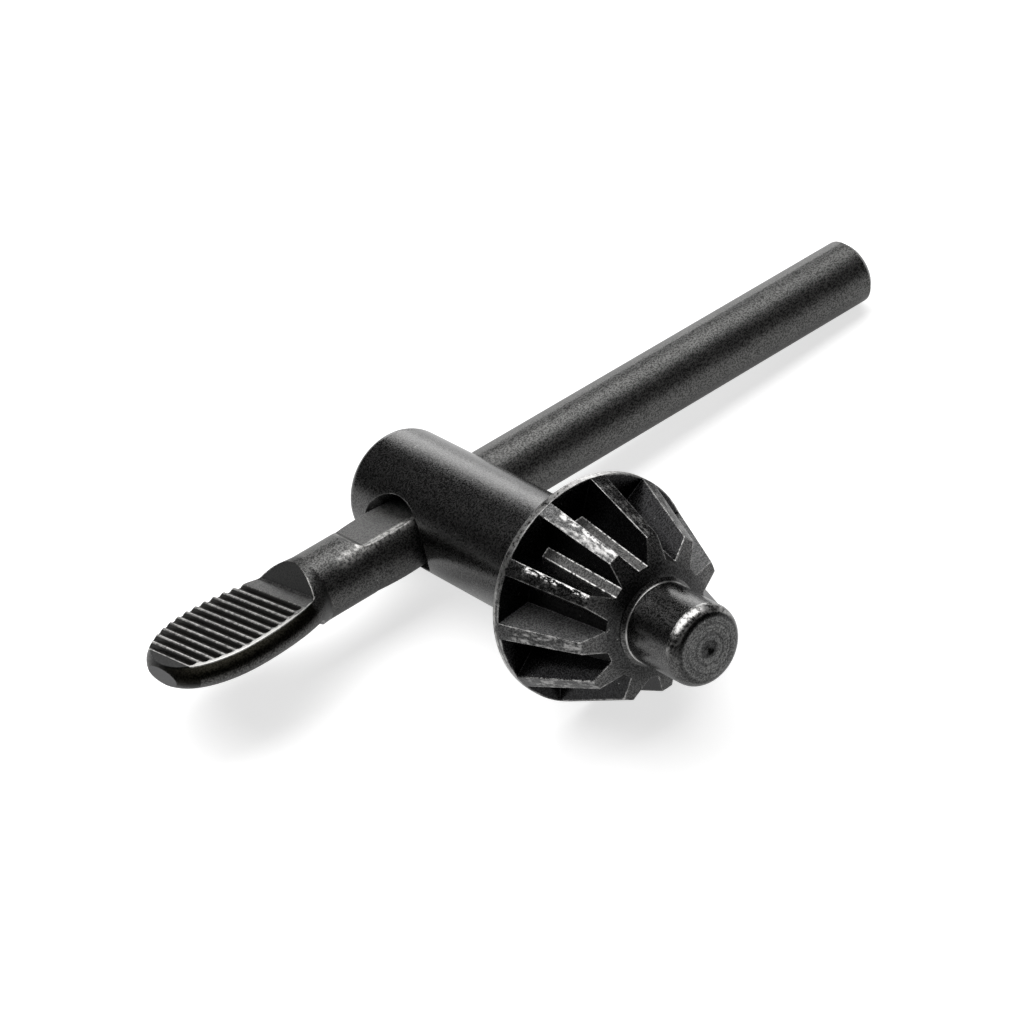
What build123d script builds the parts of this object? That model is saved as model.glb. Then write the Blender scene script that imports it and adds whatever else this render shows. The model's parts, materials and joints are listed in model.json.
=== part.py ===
from build123d import *

import os
from math import asin, atan2, cos, hypot, radians, sin, sqrt, tan

# Drill chuck key: a toothed pinion with a pilot pin, turned by a bar that passes through its shank.
#
# The pieces are modelled with the shank's axis along Z, the pilot pin uppermost, and the bar's axis along X,
# the plain long end at +X. The two axes cross at the origin. Both pieces are then laid down together as the
# key rests on a table: on its rim, on the rear edge of its shank and on the long end of its bar. There +Z is
# up, the long end points towards +X, the pilot pin towards -Y, and the origin is under the key's middle.

# Shank: lengths along it are measured from the point where the bar's axis crosses.
shank_diameter = 12.4
shank_rear = 8.45
shank_rear_rounding = 1.2

# Rim: the unbroken disc behind the teeth.
rim_diameter = 22.6
rim_back = 23.6
rim_thickness = 0.8

# Tooth blank: a short bevel in front of the rim, then the cone of the tooth lands, then the blunt front cone.
bevel_length = 0.65
bevel_drop = 0.25
land_length = 7.65
land_angle = 21.1
front_angle = 19.0

# Tooth spaces: straight V-shaped cuts with a narrow flat floor that slopes towards the pilot pin. The phase is
# the angle at which the middle of the first tooth stands.
tooth_count = 11
tooth_phase = 8.26
space_floor_width = 1.08
space_flank_angle = 31.0
space_depth_at_rim = 3.45
space_floor_slope = 13.0
space_overrun = 0.5

# Pilot pin.
pilot_diameter = 8.0
pilot_length = 7.45
pilot_base_ring = 0.55
pilot_base_chamfer = 0.4
pilot_tip_rounding = 1.3
centre_mark_diameter = 1.2
centre_mark_depth = 0.3

# Bar, and the hole that it fits in. Its reach on each side is measured from the shank's axis.
bar_diameter = 7.1
bar_long_reach = 54.9
bar_short_reach = 34.2
bar_end_chamfer = 0.6
hole_clearance = 0.02
hole_mouth_widening = 1.6
hole_mouth_angle = 66.0

# Flats pressed into the bar beside and inside the hole, with a ramp at each end. They push the bar's sides out
# into a low bulge, which is highest just outside the hole.
flat_twist = 3.0
flat_depth = 1.0
flat_inside_hole = 5.0
flat_outside_shank = 4.8
flat_ramp_angle = 37.0
bulge_height = 0.3
bulge_inside_hole = 2.3
bulge_past_flat = 0.5

# Thumb pad: the bar's short end swells sideways and is pressed flat. Its nose is cut off square.
pad_twist = 9.0
pad_thickness = 2.4
pad_width = 15.9
pad_crown_height = 5.4
pad_shift = -0.5
pad_nose_length = 7.7
pad_nose_cut_off = 0.45
pad_nose_roundness = 2.1
swelling_length = 9.9
shoulder_setback = 0.7
shoulder_angle = 56.0
shoulder_foot_fillet = 0.5

# Grooves across the pad's upper face. They are open at one side and stop short of the other one.
groove_pitch = 1.037
groove_width = 0.87
groove_depth = 0.42
groove_side_angle = 32.0
groove_border = 0.5
groove_corner_cut = 0.26
first_groove_offset = 1.93
last_groove_margin = 1.3

# Sizes that follow from those above.
shank_radius = shank_diameter / 2
rim_radius = rim_diameter / 2
rim_front = rim_back + rim_thickness
land_start = rim_front + bevel_length
land_start_radius = rim_radius - bevel_drop
land_end = land_start + land_length
land_end_radius = land_start_radius - land_length * tan(radians(land_angle))
pilot_radius = pilot_diameter / 2
front_end_radius = pilot_radius + pilot_base_ring
front_end = land_end + (land_end_radius - front_end_radius) * tan(radians(front_angle))
pilot_tip = front_end + pilot_length
centre_mark_radius = centre_mark_diameter / 2
bar_radius = bar_diameter / 2
hole_radius = bar_radius + hole_clearance
flat_half_height = bar_radius - flat_depth
flat_start = shank_radius - flat_inside_hole
flat_end = shank_radius + flat_outside_shank
bulge_start = shank_radius - bulge_inside_hole
bulge_end = flat_end + bulge_past_flat
pad_half_thickness = pad_thickness / 2
pad_half_width = pad_width / 2
pad_crown = pad_crown_height / 2
pad_widest_at = bar_short_reach - pad_nose_length
swelling_start = pad_widest_at - swelling_length
shoulder_top = swelling_start + shoulder_setback
shoulder_foot = shoulder_top + (bar_radius - pad_half_thickness) / tan(radians(shoulder_angle))
first_groove_at = shoulder_foot + first_groove_offset
groove_count = 1 + int((bar_short_reach - last_groove_margin - first_groove_at) / groove_pitch)

# The flats and the pad are pressed in two directions, each turned a little about the bar. Distances in these
# planes run along the bar from the shank's axis towards the pad.
to_pad = Vector(-1, 0, 0)


def press_and_width(twist):
    """The direction that a die presses in and the direction across it, when it is turned about the bar."""
    turn = radians(twist)
    return Vector(0, cos(turn), -sin(turn)), Vector(0, sin(turn), cos(turn))


pad_press, pad_across = press_and_width(pad_twist)
pad_middle_plane = Plane(origin=(0, 0, 0), x_dir=to_pad, z_dir=pad_press)
pad_side_view = Plane(origin=(0, 0, 0), x_dir=to_pad, z_dir=-pad_across)
cross_section = Plane(origin=(0, 0, 0), x_dir=pad_across, z_dir=to_pad)
flat_press, flat_across = press_and_width(flat_twist)
flat_middle_plane = Plane(origin=(0, 0, 0), x_dir=to_pad, z_dir=flat_press)
flat_side_view = Plane(origin=(0, 0, 0), x_dir=to_pad, z_dir=-flat_across)


def pad_outline(distance):
    """Half width, half height and sideways shift of the swollen bar, before its faces are pressed flat."""
    if distance > pad_widest_at:
        share = (distance - pad_widest_at) / (pad_nose_length + pad_nose_cut_off)
        scale = (1 - share**pad_nose_roundness) ** (1 / pad_nose_roundness)
        half_width = pad_half_width * scale
        half_height = pad_crown * scale
    else:
        share = (pad_widest_at - distance) / swelling_length
        narrowing = 1 - (bar_radius / pad_half_width) ** 2
        half_width = pad_half_width * sqrt(1 - narrowing * share**2)
        half_height = pad_crown + (bar_radius - pad_crown) * share**2
    shift = pad_shift * max(0, half_width - bar_radius) / (pad_half_width - bar_radius)
    return half_width, half_height, shift


def groove_end(distance):
    """Where a groove stops, a narrow border short of the flat face's edge on the pilot pin's side."""
    half_width, half_height, shift = pad_outline(distance)
    flatness = max(0, 1 - (pad_half_thickness / half_height) ** 2)
    return shift + half_width * sqrt(flatness) - groove_border


# One tooth space. Its cutter's section is square to the space's floor.
slope = radians(space_floor_slope)
cutter_height = space_depth_at_rim + space_overrun
cutter_spread = cutter_height * tan(radians(space_flank_angle))
cutter_section = Plane(
    origin=(rim_radius - space_depth_at_rim, 0, rim_front),
    x_dir=(cos(slope), 0, sin(slope)),
    z_dir=(-sin(slope), 0, cos(slope)),
)
with BuildPart() as tooth_space:
    with BuildSketch(cutter_section):
        with BuildLine():
            Polyline(
                (0, -space_floor_width / 2),
                (cutter_height, -space_floor_width / 2 - cutter_spread),
                (cutter_height, space_floor_width / 2 + cutter_spread),
                (0, space_floor_width / 2),
                close=True,
            )
        make_face()
    extrude(amount=(front_end + space_overrun - rim_front) / cos(slope), both=True)
    split(bisect_by=Plane.XY.offset(rim_front), keep=Keep.TOP)

with BuildPart() as pinion:
    with BuildSketch(Plane.XZ):
        with BuildLine():
            Polyline(
                (0, -shank_rear),
                (shank_radius, -shank_rear),
                (shank_radius, rim_back),
                (rim_radius, rim_back),
                (rim_radius, rim_front),
                (land_start_radius, land_start),
                (land_end_radius, land_end),
                (front_end_radius, front_end),
                (pilot_radius, front_end),
                (pilot_radius, pilot_tip),
                (centre_mark_radius, pilot_tip),
                (0, pilot_tip - centre_mark_depth),
                close=True,
            )
        make_face()
    revolve(axis=Axis.Z)
    turned_edges = pinion.edges().filter_by(GeomType.CIRCLE)
    rear_edge = turned_edges.sort_by(Axis.Z)[0]
    pilot_base = turned_edges.filter_by_position(Axis.Z, front_end, front_end).sort_by(SortBy.RADIUS)[0]
    tip_edge = turned_edges.filter_by_position(Axis.Z, pilot_tip, pilot_tip).sort_by(SortBy.RADIUS)[-1]
    fillet(rear_edge, shank_rear_rounding)
    chamfer(pilot_base, pilot_base_chamfer)
    fillet(tip_edge, pilot_tip_rounding)
    with PolarLocations(0, tooth_count, start_angle=tooth_phase + 180 / tooth_count):
        add(tooth_space.part, mode=Mode.SUBTRACT)
    for side in (1, -1):
        with Locations(Plane(origin=(side * shank_radius, 0, 0), z_dir=(side, 0, 0))):
            CounterSinkHole(hole_radius, hole_radius + hole_mouth_widening, counter_sink_angle=hole_mouth_angle)

# The pressing dies, as the bar is seen from the side. Each notch is pressed in from both faces.
die_top = bar_radius + shank_radius
ramp_run = (die_top - flat_half_height) / tan(radians(flat_ramp_angle))
shoulder_run = (die_top - pad_half_thickness) / tan(radians(shoulder_angle))
die_end = bar_short_reach + pad_thickness
with BuildPart() as flat_dies:
    with BuildSketch(flat_side_view):
        with BuildLine():
            Polyline(
                (flat_start - ramp_run, die_top),
                (flat_start, flat_half_height),
                (flat_end, flat_half_height),
                (flat_end + ramp_run, die_top),
                close=True,
            )
        make_face()
    extrude(amount=pad_width, both=True)
    mirror(about=flat_middle_plane)

with BuildPart() as pad_dies:
    with BuildSketch(pad_side_view):
        with BuildLine():
            Polyline(
                (shoulder_foot - shoulder_run, die_top),
                (shoulder_foot, pad_half_thickness),
                (die_end, pad_half_thickness),
                (die_end, die_top),
                close=True,
            )
        pad_notch = make_face()
        fillet(pad_notch.vertices().group_by(Axis.Y)[0].sort_by(Axis.X)[0], shoulder_foot_fillet)
    extrude(amount=pad_width, both=True)
    mirror(about=pad_middle_plane)

with BuildPart() as tee_handle:
    with BuildSketch(Plane.YZ.offset(-swelling_start)):
        Circle(bar_radius)
    extrude(amount=swelling_start + bar_long_reach)
    chamfer(tee_handle.edges().group_by(Axis.X)[-1], bar_end_chamfer)
    with BuildSketch(Plane.XZ):
        with BuildLine():
            bulge_top = (-(bulge_start + bulge_end) / 2, bar_radius + bulge_height)
            ThreePointArc((-bulge_end, bar_radius), bulge_top, (-bulge_start, bar_radius))
            Polyline((-bulge_start, bar_radius), (-bulge_start, 0), (-bulge_end, 0), (-bulge_end, bar_radius))
        make_face()
    revolve(axis=Axis.X)
    for share in (1.0, 0.8, 0.55, 0.27):
        with BuildSketch(cross_section.offset(pad_widest_at - share * swelling_length)):
            half_width, half_height, shift = pad_outline(pad_widest_at - share * swelling_length)
            with Locations((shift, 0)):
                Ellipse(half_width, half_height)
    for share in (0.0, 0.3, 0.55, 0.75, 0.9, 1.0):
        with BuildSketch(cross_section.offset(pad_widest_at + share * pad_nose_length)):
            half_width, half_height, shift = pad_outline(pad_widest_at + share * pad_nose_length)
            with Locations((shift, 0)):
                Ellipse(half_width, half_height)
    loft()
    add(flat_dies.part, mode=Mode.SUBTRACT)
    add(pad_dies.part, mode=Mode.SUBTRACT)
    with BuildSketch(pad_middle_plane.offset(pad_half_thickness)):
        for index in range(groove_count):
            distance = first_groove_at + index * groove_pitch
            near_wall = distance - groove_width / 2
            far_wall = distance + groove_width / 2
            closed_end = groove_end(distance)
            with BuildLine():
                Polyline(
                    (near_wall, -pad_width),
                    (near_wall, closed_end - groove_corner_cut),
                    (near_wall + groove_corner_cut, closed_end),
                    (far_wall - groove_corner_cut, closed_end),
                    (far_wall, closed_end - groove_corner_cut),
                    (far_wall, -pad_width),
                    close=True,
                )
            make_face()
    extrude(amount=-groove_depth, taper=groove_side_angle, mode=Mode.SUBTRACT)

# The table under the resting key. The shank leans, because the rim's rear edge and the shank's own rounded
# rear edge both touch, and the key rolls until the chamfer on the long end of the bar touches too.
rim_to_rounding = rim_back + shank_rear - shank_rear_rounding
rim_over_rounding = rim_radius - shank_radius + shank_rear_rounding
lean = atan2(rim_over_rounding, rim_to_rounding)
lean -= asin(shank_rear_rounding / hypot(rim_to_rounding, rim_over_rounding))
table_level = rim_back * sin(lean) - rim_radius * cos(lean)
chamfer_start = bar_long_reach - bar_end_chamfer
roll = atan2(bar_radius, chamfer_start) + asin(table_level / hypot(chamfer_start, bar_radius))
up = Vector(sin(roll), sqrt(1 - sin(roll) ** 2 - sin(lean) ** 2), sin(lean))
table = Plane(origin=up * table_level, x_dir=(1, 0, 0), z_dir=up)

pinion.part = table.to_local_coords(pinion.part)
tee_handle.part = table.to_local_coords(tee_handle.part)
middle = Compound([pinion.part, tee_handle.part]).bounding_box().center()
to_middle = Location((-middle.X, -middle.Y, 0))
pinion.part = pinion.part.moved(to_middle)
tee_handle.part = tee_handle.part.moved(to_middle)

os.makedirs("parts", exist_ok=True)
pinion.part.label = "pinion"
export_step(pinion.part, "parts/pinion.step")
tee_handle.part.label = "tee_handle"
export_step(tee_handle.part, "parts/tee_handle.step")
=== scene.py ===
import json
from math import cos, radians, sin
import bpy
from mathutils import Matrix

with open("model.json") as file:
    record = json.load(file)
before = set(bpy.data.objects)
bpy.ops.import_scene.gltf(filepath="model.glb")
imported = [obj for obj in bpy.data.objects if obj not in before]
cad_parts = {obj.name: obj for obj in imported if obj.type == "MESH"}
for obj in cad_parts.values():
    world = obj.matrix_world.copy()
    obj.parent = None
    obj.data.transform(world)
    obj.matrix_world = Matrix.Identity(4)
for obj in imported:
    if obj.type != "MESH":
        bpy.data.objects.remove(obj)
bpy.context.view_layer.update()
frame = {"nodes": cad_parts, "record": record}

from types import SimpleNamespace

import bpy
from mathutils import Matrix, Vector

# Drill chuck key in blackened steel, resting on a plain white table under soft studio light.
# Lengths are in metres, and MM turns millimetres into them.
MM = 0.001

# Camera: where it stands in millimetres, and which way it looks. Heading is measured from +Y towards +X.
CAMERA_PLACE = (-134.79, -209.73, 227.8)
CAMERA_HEADING = 30.276
CAMERA_DROP = 40.845
CAMERA_ROLL = 13.062
CAMERA_LENS = 120.23
CAMERA_SENSOR = 36.0

# The table: how far it reaches, its tone, and its glow for the camera. It glows by a share of that where the
# steel mirrors it. The room's light is the same from all sides.
TABLE_REACH = 4.0
TABLE_TONE = 0.62
TABLE_ROUGHNESS = 0.9
TABLE_GLOW = 0.7
MIRRORED_SHARE = 0.55
ROOM_LIGHT = 0.05

# Directions and places that the materials use. The shank's axis comes from the record's pilot pin, and the
# bar's axis is square to it and level with the row's X-Z plane.
PILOT = frame["record"]["mounts"][0]
TO_PILOT = Vector(PILOT["axis"]).normalized()
TO_LONG_END = Vector((0, 1, 0)).cross(TO_PILOT).normalized()
TO_PAD = -TO_LONG_END
TO_TOP = TO_PILOT.cross(TO_LONG_END)
PILOT_MIDDLE_TO_CROSSING = 37.2 * MM
CROSSING = Vector(PILOT["pos_m"]) - TO_PILOT * PILOT_MIDDLE_TO_CROSSING

# Pinion: places along the shank's axis from the crossing, radii, and the tooth spaces.
RIM_BACK = 23.6 * MM
RIM_FRONT = 24.4 * MM
LAND_START = 25.05 * MM
LAND_END = 32.7 * MM
FRONT_END = 33.9 * MM
PILOT_TIP = 41.37 * MM
TIP_ROUNDING = 1.3 * MM
LAND_START_RADIUS = 11.05 * MM
LAND_SLOPE = 0.386
RIM_RADIUS = 11.3 * MM
SHANK_RADIUS = 6.2 * MM
MOUTH_RADIUS = 5.17 * MM
MOUTH_SLOPE = 0.649
TOOTH_COUNT = 11
TOOTH_PITCH = radians(360 / TOOTH_COUNT)
TOOTH_PHASE = radians(8.26)
SPACE_FLOOR_HALF_WIDTH = 0.54 * MM

# Bar: places along it from the crossing towards the pad, and how far it is turned where it is pressed flat.
FLAT_TWIST = 3.0
FLAT_START = 5.5 * MM
FLAT_END = 11.0 * MM
FLAT_HEIGHT = 2.55 * MM
FLAT_HALF_WIDTH = 2.47 * MM
PAD_TWIST = 9.0
SHOULDER_TOP = 17.3 * MM
SHOULDER_FOOT = 18.9 * MM
FIRST_GROOVE_START = 20.4 * MM
FIRST_GROOVE_MIDDLE = 20.815 * MM
GROOVE_PITCH = 1.037 * MM
LAST_GROOVE_END = 32.7 * MM
PAD_END = 34.2 * MM
PAD_FACE_HEIGHT = 1.2 * MM

# The edge of the pad's face on the pilot pin's side: where it is widest and how far out it lies there. It
# bends inwards with the square of the distance from that place, and faster past it, towards the nose.
FACE_WIDEST_AT = 26.5 * MM
FACE_WIDEST_EDGE = 6.62 * MM
FACE_EDGE_BEND = 23.6
FACE_EDGE_BEND_GAIN = 8500

# Noise scales, in clouds to a metre.
GRAIN_SCALE = 6000
SPECK_SCALE = 2600
SCRATCH_SCALE = 2600
DRAWN_SCALE = 3000
RING_SCALE = 3000
PINION_CLOUD_SCALE = 330
BAR_CLOUD_SCALE = 260

# Edges: the width of their wear, and the radius that they are shaded with.
EDGE_WEAR_WIDTH = 0.3 * MM
EDGE_ROUNDING = 0.12 * MM

# Tones of the pinion: one grey level, or red, green and blue. A pair runs from dark to pale.
# NEAR_BLACK is also painted shade, in the cross hole and along the flat's crease.
NEAR_BLACK = 0.02
PINION_TONES = (0.09, 0.09, 0.091), (0.15, 0.148, 0.145)
BEVEL_TONE = 0.05
# PILOT_BASE_SHADE_TONE is painted shade on the front of the teeth round the pilot pin.
PILOT_BASE_SHADE_TONE = 0.055
LAND_TONES = 0.03, 0.13
FLOOR_TONES = NEAR_BLACK, (0.18, 0.178, 0.175)
# Of the flank tones, the dark one is the cut flanks' own and the pale one is painted light on the flanks that
# face up.
FLANK_TONE_AND_PAINTED_LIGHT = (0.036, 0.036, 0.037), 0.17
RING_TONES = 0.075, (0.16, 0.16, 0.158)
# CENTRE_MARK_SHADE_TONE is painted shade in the centre mark on the pilot pin's end.
CENTRE_MARK_SHADE_TONE = 0.03
PINION_WORN = (0.5, 0.493, 0.485)

# Tones of the bar.
BAR_TONES = (0.11, 0.11, 0.109), (0.17, 0.168, 0.163)
SHOULDER_TONE = (0.034, 0.034, 0.033)
NOSE_TONE = (0.008, 0.008, 0.007)
# GROOVE_SHADE_TONE is painted shade in the pad's grooves and on the upper part of its sides.
GROOVE_SHADE_TONE = (0.014, 0.013, 0.01)
END_FACET_TONE = (0.062, 0.062, 0.064)
BAR_WORN = (0.72, 0.71, 0.69)

# The grain: how high it stands, the share of the tone that is left in its pits, and the roughness in the pits
# with what the crests add to it. The other roughness values have no grain.
PINION_BUMP = 0.0016 * MM
PINION_PIT_SHADE = 0.35
PINION_ROUGHNESS = 0.2
PINION_CREST_ROUGHNESS = 0.1
MILLED_ROUGHNESS = 0.36
TOP_FLANK_ROUGHNESS = 0.55
BAR_BUMP = 0.0018 * MM
BAR_PIT_SHADE = 0.25
BAR_ROUGHNESS = 0.34
BAR_CREST_ROUGHNESS = 0.14
BAR_WORN_ROUGHNESS = 0.42

# How far the worn side of one tooth leans, for a surface direction of length 1, and how bright some wear is.
ROLLED_LEAN = 0.55
RIM_WEAR = 0.9
RUBBED_WEAR = 0.8
PINION_CHIPS = 0.35
BAR_CHIPS = 0.2


def new_material(name):
    """An empty material, its tree and its shader."""
    material = bpy.data.materials.new(name)
    material.use_nodes = True
    tree = material.node_tree
    return material, tree, tree.nodes["Principled BSDF"]


def add(tree, kind, inputs=(), **settings):
    """Adds a node. Each input is a number, a colour or another node's output."""
    node = tree.nodes.new("ShaderNode" + kind)
    for name, value in settings.items():
        setattr(node, name, value)
    for name, value in dict(inputs).items():
        if isinstance(value, bpy.types.NodeSocket):
            tree.links.new(value, node.inputs[name])
        else:
            node.inputs[name].default_value = value
    return node


def maths(tree, operation, first, second=0.0, third=0.0):
    """The result of one sum on numbers."""
    return add(tree, "Math", {0: first, 1: second, 2: third}, operation=operation).outputs[0]


def ramp(tree, value, low, high):
    """Turns a value into a mask that climbs smoothly from 0 at low to 1 at high. Low may be the larger one."""
    inputs = {"Value": value, "From Min": low, "From Max": high}
    return add(tree, "MapRange", inputs, interpolation_type="SMOOTHSTEP").outputs["Result"]


def blend(tree, mask, first, second):
    """A number between the first and the second one, by the mask."""
    return add(tree, "Mix", {0: mask, 2: first, 3: second}, data_type="FLOAT").outputs[0]


def colour(tone):
    """A colour for a socket, from another node's output, a grey level, or red, green and blue."""
    if isinstance(tone, bpy.types.NodeSocket):
        return tone
    return (*tone, 1) if isinstance(tone, tuple) else (tone, tone, tone, 1)


def tint(tree, mask, first, second):
    """A colour between the first and the second one, by the mask."""
    inputs = {0: mask, 6: colour(first), 7: colour(second)}
    return add(tree, "Mix", inputs, data_type="RGBA").outputs[2]


def vector_maths(tree, operation, inputs, output="Vector"):
    """The result of one sum on vectors."""
    return add(tree, "VectorMath", inputs, operation=operation).outputs[output]


def from_crossing(tree):
    """The point's place, measured from where the two axes cross."""
    place = add(tree, "TexCoord").outputs["Object"]
    return vector_maths(tree, "SUBTRACT", {0: place, 1: CROSSING})


def along(tree, vector, direction):
    """How far a vector reaches in a direction. For the surface direction, this is the cosine between them."""
    return vector_maths(tree, "DOT_PRODUCT", {0: vector, 1: direction}, "Value")


def off_axis(tree, vector, direction):
    """The part of a vector that is square to a direction."""
    part = vector_maths(tree, "SCALE", {0: direction, "Scale": along(tree, vector, direction)})
    return vector_maths(tree, "SUBTRACT", {0: vector, 1: part})


def both(tree, first, *others):
    """The product of some masks."""
    for other in others:
        first = maths(tree, "MULTIPLY", first, other)
    return first


def either(tree, first, *others):
    """The largest of some masks."""
    for other in others:
        first = maths(tree, "MAXIMUM", first, other)
    return first


def outside(tree, mask):
    """The opposite of a mask."""
    return maths(tree, "SUBTRACT", 1.0, mask)


def band(tree, value, low, high, soft):
    """A mask that is 1 from low to high and fades out over a soft margin on both sides."""
    return both(tree, ramp(tree, value, low - soft, low), ramp(tree, value, high + soft, high))


def pressed(twist):
    """The direction that a die presses the bar in and the direction across it, for its turn about the bar."""
    turn = Matrix.Rotation(radians(-twist), 3, TO_LONG_END)
    return turn @ TO_TOP, turn @ TO_PILOT


def noise(tree, place, scale, detail=2.0, roughness=0.5):
    """Cloudy noise around a half. The scale is the number of clouds in a metre."""
    inputs = {"Vector": place, "Scale": scale, "Detail": detail, "Roughness": roughness}
    return add(tree, "TexNoise", inputs).outputs["Fac"]


def stretched(tree, place, direction, share):
    """The place, with its reach in a direction cut down to a share, so that noise is drawn out along it."""
    reach = maths(tree, "MULTIPLY", along(tree, place, direction), share - 1)
    part = vector_maths(tree, "SCALE", {0: direction, "Scale": reach})
    return vector_maths(tree, "ADD", {0: place, 1: part})


def textures(tree, place, cloud_scale):
    """Broad clouds, fine grain with a strong contrast, as of oxide over a blasted surface, and specks."""
    return SimpleNamespace(
        clouds=noise(tree, place, cloud_scale, detail=4.0, roughness=0.6),
        grain=ramp(tree, noise(tree, place, GRAIN_SCALE, detail=2.0, roughness=0.7), 0.42, 0.58),
        specks=noise(tree, place, SPECK_SCALE, detail=3.0, roughness=0.7),
    )


def edge_wear(tree, place, specks):
    """Bright wear in broken thin lines along the outward edges."""
    # From an outward edge, rays that are sent into the piece soon leave it again.
    inputs = {"Distance": EDGE_WEAR_WIDTH}
    inside = add(tree, "AmbientOcclusion", inputs, inside=True, only_local=True, samples=8).outputs["AO"]
    edge = outside(tree, inside)
    lines = ramp(tree, maths(tree, "MULTIPLY_ADD", specks, 0.6, edge), 0.52, 0.72)
    patches = ramp(tree, noise(tree, place, scale=900), 0.42, 0.58)
    return both(tree, lines, blend(tree, patches, 0.35, 1.0))


def chips(tree, place, scale, low, high, level):
    """Bright wear in small chips, where noise climbs from low to high."""
    return both(tree, ramp(tree, noise(tree, place, scale), low, high), level)


def bumped(tree, height, distance):
    """A surface direction with rounded edges and the height's bumps."""
    rounded = add(tree, "Bevel", {"Radius": EDGE_ROUNDING}, samples=6).outputs["Normal"]
    inputs = {"Height": height, "Distance": distance, "Strength": 1.0, "Normal": rounded}
    return add(tree, "Bump", inputs).outputs["Normal"]


def colour_steel(tree, shader, oxide, grain, pit_shade, wear, worn):
    """Colours steel that is all metal: oxide with the shade and light painted on it, darker in the pits of its
    grain, and bright wear.
    """
    in_pits = vector_maths(tree, "SCALE", {0: oxide, "Scale": pit_shade})
    grained = tint(tree, grain, in_pits, oxide)
    tree.links.new(tint(tree, wear, grained, worn), shader.inputs["Base Color"])
    shader.inputs["Metallic"].default_value = 1.0


def on_pinion(tree):
    """Where a point of the pinion lies, and which way its surface faces."""
    place = from_crossing(tree)
    across = off_axis(tree, place, TO_PILOT)
    outward = vector_maths(tree, "NORMALIZE", {0: across})
    normal = add(tree, "NewGeometry").outputs["Normal"]
    return SimpleNamespace(
        place=place,
        reach=along(tree, place, TO_PILOT),
        across=across,
        radius=vector_maths(tree, "LENGTH", {0: across}, "Value"),
        outward=outward,
        facing_out=along(tree, normal, outward),
        facing_pilot=along(tree, normal, TO_PILOT),
        facing_up=along(tree, normal, TO_TOP),
        facing_pad=along(tree, normal, TO_PAD),
    )


def tooth_masks(tree, at):
    """The parts of the teeth: lands, blunt front, cut sides, the floors between them, and the bevel behind."""
    # The lands are the outer faces of the teeth, on a cone that narrows towards the pilot pin.
    past_start = maths(tree, "SUBTRACT", at.reach, LAND_START)
    cone_radius = maths(tree, "MULTIPLY_ADD", past_start, -LAND_SLOPE, LAND_START_RADIUS)
    off_cone = maths(tree, "ABSOLUTE", maths(tree, "SUBTRACT", at.radius, cone_radius))
    land = both(tree, ramp(tree, off_cone, 0.15 * MM, 0.05 * MM),
                band(tree, at.reach, RIM_FRONT, LAND_END, 0.2 * MM))
    front = both(tree, ramp(tree, at.facing_pilot, 0.75, 0.9),
                 ramp(tree, at.reach, LAND_END - 0.4 * MM, LAND_END))
    in_teeth = band(tree, at.reach, RIM_FRONT, FRONT_END - 0.2 * MM, 0.05 * MM)
    cut = both(tree, in_teeth, ramp(tree, at.facing_out, 0.8, 0.6), outside(tree, front), outside(tree, land))
    space_floor = both(tree, in_teeth, ramp(tree, at.facing_out, 0.8, 0.95), outside(tree, land))
    bevel = both(tree, band(tree, at.reach, RIM_FRONT, LAND_START - 0.05 * MM, 0.03 * MM),
                 ramp(tree, at.facing_out, 0.8, 0.9))

    # How far a point lies to the side of the middle of its tooth space, and of the middle of its tooth.
    angle = maths(tree, "ARCTAN2", along(tree, at.across, TO_TOP), along(tree, at.across, TO_LONG_END))
    from_tooth = maths(tree, "SUBTRACT", angle, TOOTH_PHASE)
    from_space = maths(tree, "SUBTRACT", maths(tree, "WRAP", from_tooth, TOOTH_PITCH, 0.0), TOOTH_PITCH / 2)
    beside = maths(tree, "ABSOLUTE", both(tree, at.radius, maths(tree, "SINE", from_space)))
    from_middle = maths(tree, "WRAP", from_tooth, TOOTH_PITCH / 2, -TOOTH_PITCH / 2)
    side = both(tree, at.radius, maths(tree, "SINE", from_middle))

    # The outline of a floor, the upper side of the two lands that face up and towards the pad, and the lower
    # side of the top lands.
    floor_side = ramp(tree, beside, SPACE_FLOOR_HALF_WIDTH - 0.16 * MM, SPACE_FLOOR_HALF_WIDTH - 0.06 * MM)
    floor_outline = either(tree, floor_side, ramp(tree, at.reach, RIM_FRONT + 0.25 * MM, RIM_FRONT))
    upper_side = both(tree, land, ramp(tree, side, -0.1 * MM, -0.4 * MM), ramp(tree, at.facing_up, 0.3, 0.5),
                      ramp(tree, at.facing_pad, 0.1, 0.25),
                      ramp(tree, at.reach, LAND_START + 0.7 * MM, LAND_START + 1.2 * MM))
    lower_side = both(tree, ramp(tree, side, 0.05 * MM, 0.25 * MM), ramp(tree, at.facing_up, 0.7, 0.85))
    return SimpleNamespace(land=land, front=front, cut=cut, space_floor=space_floor, bevel=bevel,
                           floor_outline=floor_outline, upper_side=upper_side, lower_side=lower_side)


def hole_masks(tree, place):
    """The cross hole with its widened mouths, where shade is painted, and the same with a strip of the shank
    round it.
    """
    along_bar = maths(tree, "ABSOLUTE", along(tree, place, TO_LONG_END))
    off_bar = vector_maths(tree, "LENGTH", {0: off_axis(tree, place, TO_LONG_END)}, "Value")
    past_shank = maths(tree, "SUBTRACT", along_bar, SHANK_RADIUS)
    mouth_radius = maths(tree, "MULTIPLY_ADD", past_shank, MOUTH_SLOPE, MOUTH_RADIUS)
    from_mouth = maths(tree, "SUBTRACT", off_bar, mouth_radius)
    return ramp(tree, from_mouth, 0.1 * MM, 0.03 * MM), ramp(tree, from_mouth, 0.6 * MM, 0.4 * MM)


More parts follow.
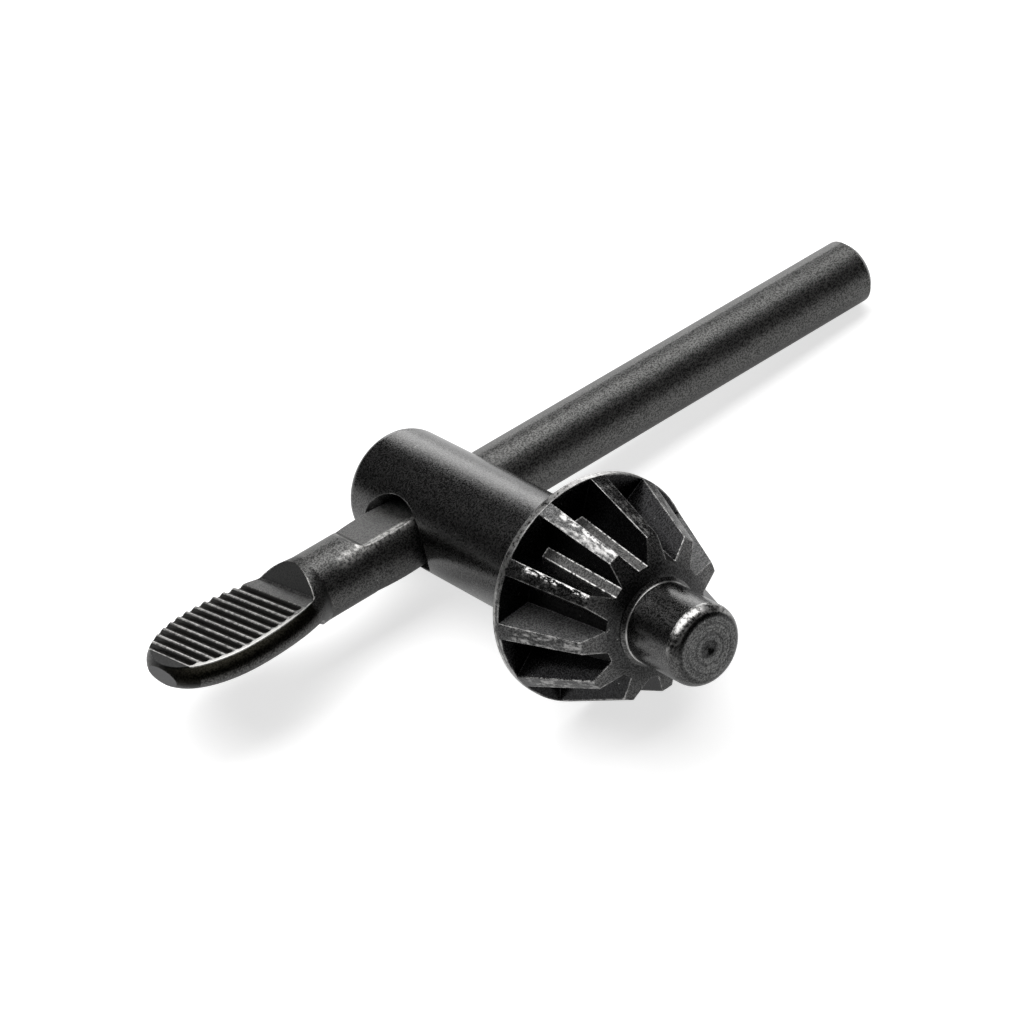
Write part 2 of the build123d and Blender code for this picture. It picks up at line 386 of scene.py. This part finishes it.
def pinion_wear(tree, at, tooth, at_hole, look, scratches):
    """Where the pinion is worn bright, and which part of that is the upper side of the two worn lands."""
    # Broken thin lines along the edges, fainter round the hole, and scratched patches on the lands.
    edges = both(tree, edge_wear(tree, at.place, look.specks), outside(tree, tooth.bevel),
                 blend(tree, at_hole, 1.0, 0.4))
    patchy = maths(tree, "MULTIPLY_ADD", look.clouds, 0.6, scratches)
    streaky = ramp(tree, maths(tree, "MULTIPLY_ADD", look.specks, 0.5, patchy), 0.98, 1.3)
    land_wear = both(tree, tooth.land, ramp(tree, at.reach, LAND_START, LAND_START + 1.0 * MM), streaky,
                     blend(tree, tooth.lower_side, 0.65, 0.4))
    scuffed = ramp(tree, maths(tree, "MULTIPLY_ADD", look.specks, 0.7, scratches), 0.75, 1.0)
    upper_wear = both(tree, tooth.upper_side, scuffed)

    # The outlines of the upper floors. The rim is worn along its back edge, and all across its upper part.
    floor_wear = both(tree, tooth.space_floor, tooth.floor_outline, ramp(tree, look.specks, 0.4, 0.55),
                      ramp(tree, at.facing_up, 0.5, 0.75))
    rim_line = either(tree, ramp(tree, at.reach, RIM_BACK + 0.4 * MM, RIM_BACK + 0.3 * MM),
                      ramp(tree, at.facing_up, 0.3, 0.8), ramp(tree, look.specks, 0.6, 0.68))
    rim_wear = both(tree, band(tree, at.reach, RIM_BACK, RIM_FRONT, 0.05 * MM), rim_line,
                    ramp(tree, at.radius, RIM_RADIUS - 0.1 * MM, RIM_RADIUS),
                    ramp(tree, look.specks, 0.3, 0.6), RIM_WEAR)

    # A thin ring at the pilot pin's base, and the upper part of the rounding at its tip.
    base_wear = both(tree, band(tree, at.reach, FRONT_END + 0.36 * MM, FRONT_END + 0.44 * MM, 0.05 * MM),
                     ramp(tree, look.clouds, 0.35, 0.55))
    tip_wear = both(tree, band(tree, at.reach, PILOT_TIP - TIP_ROUNDING, PILOT_TIP - 0.3 * MM, 0.1 * MM),
                    ramp(tree, at.facing_up, 0.2, 0.5), ramp(tree, look.specks, 0.35, 0.6))
    chipped = chips(tree, at.place, scale=1900, low=0.72, high=0.78, level=PINION_CHIPS)
    wear = either(tree, edges, land_wear, upper_wear, floor_wear, rim_wear, base_wear, tip_wear, chipped)
    return wear, upper_wear


def pinion_oxide_and_painted_light(tree, at, tooth, hole_shade, top_flank_painted_light, look, scratches):
    """The colour of the pinion's black oxide, with painted shade in the cross hole, round the pilot pin's base
    and in the centre mark, and painted light on the flanks that face up, before its grain.
    """
    oxide = tint(tree, look.clouds, *PINION_TONES)
    oxide = tint(tree, tooth.bevel, oxide, BEVEL_TONE)
    # Painted shade: the front of the teeth is darker round the pilot pin's base.
    pilot_base_shade = both(tree, tooth.front, ramp(tree, at.radius, 7.0 * MM, 5.0 * MM))
    oxide = tint(tree, pilot_base_shade, oxide, PILOT_BASE_SHADE_TONE)
    oxide = tint(tree, tooth.land, oxide, tint(tree, scratches, *LAND_TONES))
    floor_grey = both(tree, scratches, ramp(tree, at.facing_up, 0.6, 1.0))
    oxide = tint(tree, tooth.space_floor, oxide, tint(tree, floor_grey, *FLOOR_TONES))
    # Painted light: the flanks that face up are paler than the other cut flanks.
    oxide = tint(tree, tooth.cut, oxide, tint(tree, top_flank_painted_light, *FLANK_TONE_AND_PAINTED_LIGHT))
    # Painted shade: the cross hole and its mouths are near black.
    oxide = tint(tree, hole_shade, oxide, NEAR_BLACK)

    # The pilot pin's end has turning marks that waver a little, and painted shade in its centre mark.
    turned = both(tree, ramp(tree, at.facing_pilot, 0.9, 0.98),
                  ramp(tree, at.reach, PILOT_TIP - 0.5 * MM, PILOT_TIP - 0.2 * MM))
    wavy_radius = maths(tree, "MULTIPLY_ADD", noise(tree, at.place, scale=700), 0.6 * MM, at.radius)
    inputs = {"W": wavy_radius, "Scale": RING_SCALE, "Detail": 2.0}
    rings = add(tree, "TexNoise", inputs, noise_dimensions="1D").outputs["Fac"]
    pale_rings = ramp(tree, maths(tree, "MULTIPLY_ADD", look.clouds, 0.4, rings), 0.55, 0.85)
    oxide = tint(tree, turned, oxide, tint(tree, pale_rings, *RING_TONES))
    centre_mark_shade = both(tree, turned, ramp(tree, at.radius, 1.1 * MM, 0.5 * MM))
    return tint(tree, centre_mark_shade, oxide, CENTRE_MARK_SHADE_TONE)


def black_oxide_pinion():
    """Black oxide on turned and milled steel, bright where the tooth lands and the edges are worn, with
    painted shade in the cross hole, round the pilot pin's base and in the centre mark, and painted light on
    the flanks that face up.
    """
    material, tree, shader = new_material("black_oxide_pinion")
    at = on_pinion(tree)
    look = textures(tree, at.place, PINION_CLOUD_SCALE)
    streaks = stretched(tree, at.place, TO_PILOT, share=0.08)
    scratches = noise(tree, streaks, SCRATCH_SCALE, detail=3.0, roughness=0.6)
    tooth = tooth_masks(tree, at)
    # The flanks that face up get painted light, a paler tone, and a rougher finish.
    top_flank_painted_light = both(tree, tooth.cut, ramp(tree, at.facing_up, 0.93, 0.98))
    hole_shade, at_hole = hole_masks(tree, at.place)
    wear, upper_wear = pinion_wear(tree, at, tooth, at_hole, look, scratches)
    oxide = pinion_oxide_and_painted_light(tree, at, tooth, hole_shade, top_flank_painted_light, look, scratches)
    colour_steel(tree, shader, oxide, look.grain, PINION_PIT_SHADE, wear, PINION_WORN)

    satin = maths(tree, "MULTIPLY_ADD", look.grain, PINION_CREST_ROUGHNESS, PINION_ROUGHNESS)
    milled = blend(tree, either(tree, wear, tooth.space_floor), satin, MILLED_ROUGHNESS)
    tree.links.new(blend(tree, top_flank_painted_light, milled, TOP_FLANK_ROUGHNESS), shader.inputs["Roughness"])

    # The worn side of the tooth that faces the pad is rolled over a little, towards the tooth above it.
    rolled = both(tree, upper_wear, ramp(tree, at.facing_pad, 0.4, 0.6), ROLLED_LEAN)
    upwards = vector_maths(tree, "CROSS_PRODUCT", {0: at.outward, 1: TO_PILOT})
    lean = vector_maths(tree, "SCALE", {0: upwards, "Scale": rolled})
    height = maths(tree, "MULTIPLY_ADD", look.specks, 0.6, look.grain)
    leaning = vector_maths(tree, "ADD", {0: bumped(tree, height, PINION_BUMP), 1: lean})
    tree.links.new(vector_maths(tree, "NORMALIZE", {0: leaning}), shader.inputs["Normal"])
    return material


def flat_masks(tree, place, reach):
    """The flat beside the hole: its rubbed edge on the pilot pin's side, painted shade along the crease at its
    outer end, and a lip.
    """
    up, across = pressed(FLAT_TWIST)
    over_flat = along(tree, place, up)
    beside_flat = along(tree, place, across)
    rubbed = both(tree, band(tree, reach, FLAT_START, FLAT_END + 2 * MM, 2 * MM),
                  ramp(tree, over_flat, 0.0, 1.0 * MM),
                  band(tree, beside_flat, FLAT_HALF_WIDTH - 0.1 * MM, FLAT_HALF_WIDTH + 0.3 * MM, 0.5 * MM),
                  RUBBED_WEAR)
    on_top = ramp(tree, over_flat, FLAT_HEIGHT - 0.3 * MM, FLAT_HEIGHT - 0.1 * MM)
    crease_shade = both(tree, on_top, band(tree, reach, FLAT_END - 0.05 * MM, FLAT_END + 0.05 * MM, 0.1 * MM))
    lip = both(tree, on_top, band(tree, reach, FLAT_END + 0.45 * MM, FLAT_END + 0.6 * MM, 0.15 * MM))
    return rubbed, crease_shade, lip


def pad_masks(tree, place, reach, facing_end):
    """The pad's grooves and the upper part of its sides in painted shade, its dark nose, shoulder and end
    facet, and its bright crests and border.
    """
    up, across = pressed(PAD_TWIST)
    over_middle = along(tree, place, up)
    on_pad = ramp(tree, reach, SHOULDER_FOOT + 0.2 * MM, SHOULDER_FOOT + 0.8 * MM)
    off_end = ramp(tree, facing_end, 0.97, 0.9)
    below_face = ramp(tree, over_middle, PAD_FACE_HEIGHT - 0.05 * MM, PAD_FACE_HEIGHT - 0.15 * MM)
    upper_half = ramp(tree, over_middle, -0.9 * MM, 0.4 * MM)
    # Painted shade: the grooves and the upper part of the sides are near black.
    groove_and_side_shade = both(tree, on_pad, below_face, upper_half, off_end)
    past_grooves = ramp(tree, reach, LAST_GROOVE_END, LAST_GROOVE_END + 0.1 * MM)
    nose = both(tree, on_pad, past_grooves, off_end)
    shoulder = both(tree, band(tree, reach, SHOULDER_TOP, SHOULDER_FOOT, 0.1 * MM),
                    ramp(tree, facing_end, 0.55, 0.75))
    end_facet = both(tree, ramp(tree, reach, PAD_END - 0.1 * MM, PAD_END), ramp(tree, facing_end, 0.9, 0.97))
    at_face = ramp(tree, over_middle, PAD_FACE_HEIGHT - 0.06 * MM, PAD_FACE_HEIGHT - 0.01 * MM)
    on_face = both(tree, on_pad, at_face, outside(tree, past_grooves))

    # The crests are brightest along their middle, and brighter near the nose than near the shoulder.
    near_nose = ramp(tree, reach, FIRST_GROOVE_START + 2 * MM, LAST_GROOVE_END)
    from_first = maths(tree, "SUBTRACT", reach, FIRST_GROOVE_MIDDLE)
    from_groove = maths(tree, "WRAP", from_first, GROOVE_PITCH / 2, -GROOVE_PITCH / 2)
    line = ramp(tree, maths(tree, "ABSOLUTE", from_groove), 0.42 * MM, 0.49 * MM)
    crest = both(tree, on_face, ramp(tree, reach, FIRST_GROOVE_START - 0.1 * MM, FIRST_GROOVE_START),
                 blend(tree, line, 0.3, 1.0), ramp(tree, noise(tree, place, scale=1000), 0.25, 0.5),
                 blend(tree, near_nose, 0.55, 1.0))

    # The border is ragged. It follows the face's curved edge, and it is broader and brighter near the nose.
    from_widest = maths(tree, "SUBTRACT", reach, FACE_WIDEST_AT)
    past_widest = maths(tree, "MAXIMUM", from_widest, 0.0)
    bend = maths(tree, "MULTIPLY_ADD", past_widest, FACE_EDGE_BEND_GAIN, FACE_EDGE_BEND)
    edge_drop = both(tree, from_widest, from_widest, bend)
    past_edge = maths(tree, "SUBTRACT", along(tree, place, across), FACE_WIDEST_EDGE)
    from_edge = maths(tree, "ADD", past_edge, edge_drop)
    broad = ramp(tree, reach, FIRST_GROOVE_START, FACE_WIDEST_AT + 3 * MM)
    ragged = maths(tree, "MULTIPLY_ADD", noise(tree, place, scale=1300, detail=3.0), 1.4 * MM, from_edge)
    ragged = maths(tree, "MULTIPLY_ADD", broad, 0.3 * MM, ragged)
    border = both(tree, on_face, ramp(tree, ragged, 0.4 * MM, 0.55 * MM), blend(tree, broad, 0.6, 1.0))
    return SimpleNamespace(groove_and_side_shade=groove_and_side_shade, nose=nose, shoulder=shoulder, end_facet=end_facet,
                           crest=crest, border=border)


def black_oxide_bar():
    """Black oxide on a drawn bar, finely grained, bright on the pad's crests and along its border, with
    painted shade in the flat's crease, in the pad's grooves and on the upper part of its sides.
    """
    material, tree, shader = new_material("black_oxide_bar")
    place = from_crossing(tree)
    reach = along(tree, place, TO_PAD)
    facing_end = along(tree, add(tree, "NewGeometry").outputs["Normal"], TO_PAD)
    look = textures(tree, place, BAR_CLOUD_SCALE)
    rubbed, crease_shade, lip = flat_masks(tree, place, reach)
    pad = pad_masks(tree, place, reach, facing_end)

    edges = edge_wear(tree, place, look.specks)
    chipped = chips(tree, place, scale=1500, low=0.75, high=0.8, level=BAR_CHIPS)
    rubbed_wear = both(tree, either(tree, rubbed, lip), ramp(tree, look.specks, 0.35, 0.7))
    crest_wear = both(tree, pad.crest, ramp(tree, look.specks, 0.3, 0.55))
    wear = either(tree, edges, chipped, rubbed_wear, crest_wear, pad.border)

    oxide = tint(tree, look.clouds, *BAR_TONES)
    oxide = tint(tree, pad.shoulder, oxide, SHOULDER_TONE)
    oxide = tint(tree, pad.nose, oxide, NOSE_TONE)
    oxide = tint(tree, pad.groove_and_side_shade, oxide, GROOVE_SHADE_TONE)
    # Painted shade: a near-black line along the flat's crease.
    oxide = tint(tree, crease_shade, oxide, NEAR_BLACK)
    oxide = tint(tree, pad.end_facet, oxide, END_FACET_TONE)
    colour_steel(tree, shader, oxide, look.grain, BAR_PIT_SHADE, wear, BAR_WORN)

    satin = maths(tree, "MULTIPLY_ADD", look.grain, BAR_CREST_ROUGHNESS, BAR_ROUGHNESS)
    tree.links.new(blend(tree, wear, satin, BAR_WORN_ROUGHNESS), shader.inputs["Roughness"])

    streaks = stretched(tree, place, TO_LONG_END, share=0.1)
    drawn = noise(tree, streaks, DRAWN_SCALE, detail=3.0, roughness=0.6)
    height = maths(tree, "MULTIPLY_ADD", drawn, 0.5, look.grain)
    tree.links.new(bumped(tree, height, BAR_BUMP), shader.inputs["Normal"])
    return material


def make_camera():
    """The camera at the photograph's viewing angle."""
    heading, drop, roll = radians(CAMERA_HEADING), radians(CAMERA_DROP), radians(CAMERA_ROLL)
    forward = Vector((sin(heading) * cos(drop), cos(heading) * cos(drop), -sin(drop)))
    level = forward.cross(Vector((0, 0, 1))).normalized()
    above = level.cross(forward)
    right = level * cos(roll) - above * sin(roll)
    turn = Matrix((right, right.cross(forward), -forward)).transposed()
    data = bpy.data.cameras.new("camera")
    data.lens = CAMERA_LENS
    data.sensor_width = CAMERA_SENSOR
    camera = bpy.data.objects.new("camera", data)
    camera.matrix_world = Matrix.LocRotScale(Vector(CAMERA_PLACE) * MM, turn, None)
    bpy.context.scene.collection.objects.link(camera)
    bpy.context.scene.camera = camera


def make_lamp(name, place, width, depth, watts):
    """A soft lamp that faces the key. Its width runs from left to right."""
    data = bpy.data.lights.new(name, "AREA")
    data.shape = "RECTANGLE"
    data.size = width
    data.size_y = depth
    data.energy = watts
    lamp = bpy.data.objects.new(name, data)
    lamp.location = place
    lamp.rotation_euler = (-Vector(place)).to_track_quat("-Z", "Y").to_euler()
    bpy.context.scene.collection.objects.link(lamp)


def make_floor():
    """A pale table that looks white to the camera, glows less in the steel, and keeps a soft shadow."""
    reach = TABLE_REACH
    corners = [(-reach, -reach, 0), (reach, -reach, 0), (reach, reach, 0), (-reach, reach, 0)]
    mesh = bpy.data.meshes.new("floor")
    mesh.from_pydata(corners, [], [(0, 1, 2, 3)])
    floor = bpy.data.objects.new("floor", mesh)
    bpy.context.scene.collection.objects.link(floor)
    material, tree, shader = new_material("floor")
    paths = add(tree, "LightPath").outputs
    mirrored = either(tree, paths["Is Glossy Ray"], paths["Is Transmission Ray"])
    seen = either(tree, paths["Is Camera Ray"], both(tree, mirrored, MIRRORED_SHARE))
    shader.inputs["Base Color"].default_value = colour(TABLE_TONE)
    shader.inputs["Roughness"].default_value = TABLE_ROUGHNESS
    shader.inputs["Specular IOR Level"].default_value = 0.0
    shader.inputs["Emission Color"].default_value = colour(1)
    tree.links.new(both(tree, seen, TABLE_GLOW), shader.inputs["Emission Strength"])
    mesh.materials.append(material)


def make_world():
    """Dim, even light from the room, and white behind the table's far edge."""
    world = bpy.data.worlds.new("world")
    bpy.context.scene.world = world
    world.use_nodes = True
    tree = world.node_tree
    background = tree.nodes["Background"]
    background.inputs["Color"].default_value = colour(1)
    seen = add(tree, "LightPath").outputs["Is Camera Ray"]
    tree.links.new(either(tree, seen, ROOM_LIGHT), background.inputs["Strength"])


frame["nodes"]["pinion"].material_slots[0].material = black_oxide_pinion()
frame["nodes"]["tee_handle"].material_slots[0].material = black_oxide_bar()
make_floor()
make_world()
make_lamp("overhead lamp", place=(0.02, 0.14, 0.52), width=0.9, depth=0.48, watts=4.6)
make_lamp("back lamp", place=(0.47, 0.66, 0.15), width=0.5, depth=0.28, watts=1.4)
make_camera()

bpy.context.scene.view_settings.view_transform = "Standard"
